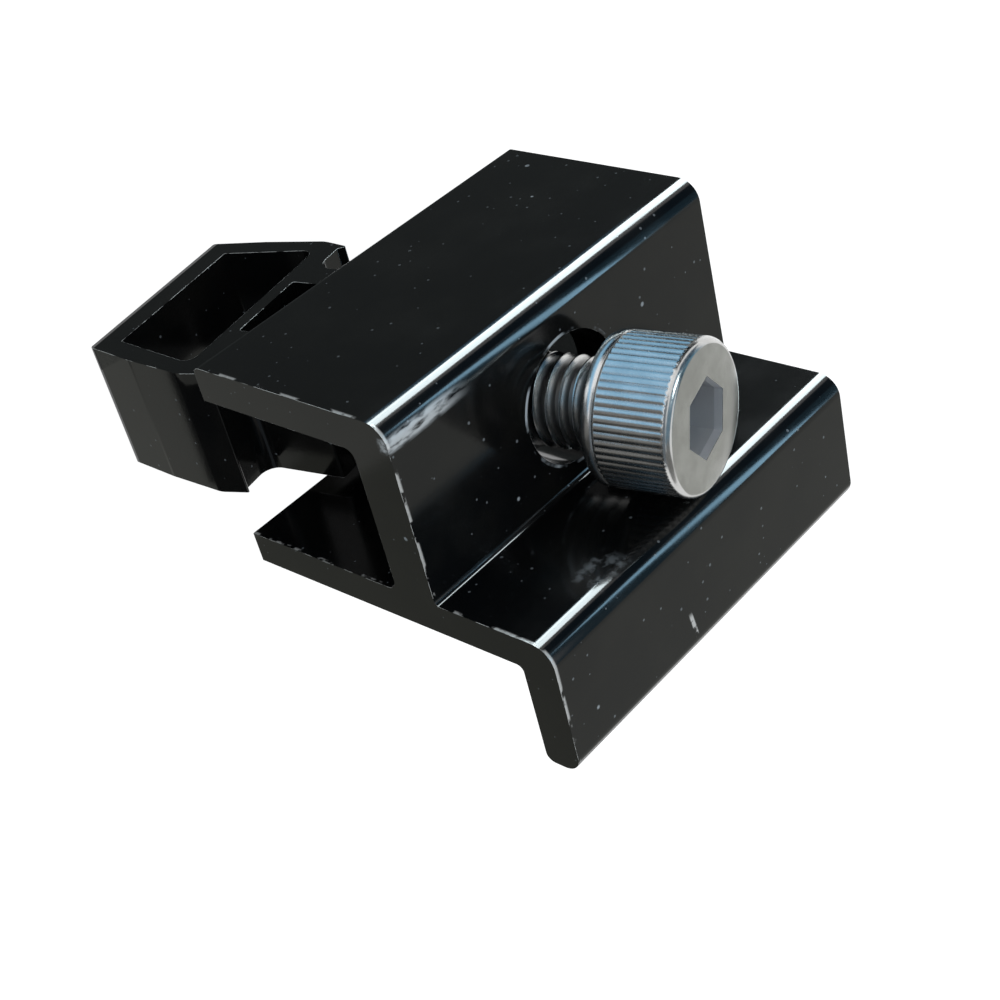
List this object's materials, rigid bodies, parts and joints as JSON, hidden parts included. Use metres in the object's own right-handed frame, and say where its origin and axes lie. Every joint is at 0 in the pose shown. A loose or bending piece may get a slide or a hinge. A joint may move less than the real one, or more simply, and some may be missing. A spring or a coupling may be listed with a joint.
{
  "type": "solar end clamp",
  "caption": "End clamp for a framed solar module on a slotted rail: extruded body with a lip, socket cap screw and extruded rail nut.",
  "frame": {"origin": "centre of the rail nut's flat outer face, on the screw's axis", "axes": "+Z along the screw's axis, from the nut to the screw's head. The lip that holds the module is on the -Y side and the outer leg on the +Y side. +X is along the rail's width, towards the end of the leaning body that is raised."},
  "size_m": [0.0457, 0.0302, 0.0588],
  "materials": {
    "black_anodised_body": "glossy black anodised extrusion, silver where its cut edges are worn",
    "black_anodised_nut": "glossy black anodised extrusion",
    "stainless_screw": "bright turned and rolled stainless steel, knurled head"
  },
  "bodies": {
    "rail_nut": {"rail_nut": "black_anodised_nut"},
    "clamp_body": {"clamp_body": "black_anodised_body"},
    "cap_screw": {"cap_screw": "stainless_screw"}
  },
  "joints": [
    {"name": "clamp_travel", "type": "slide", "parent": "rail_nut", "child": "clamp_body", "axis": [0, 0, 1], "range_m": [-0.00375, 0.0025]},
    {"name": "screw_turn", "type": "hinge", "parent": "clamp_body", "child": "cap_screw", "pos_m": [0, 0, 0.0476], "axis": [0, 0, 1], "range_deg": [-1085, 725]}
  ],
  "couplings": [
    {"joint": "screw_turn", "follows": "clamp_travel", "rad_per_m": 5026.5}
  ]
}
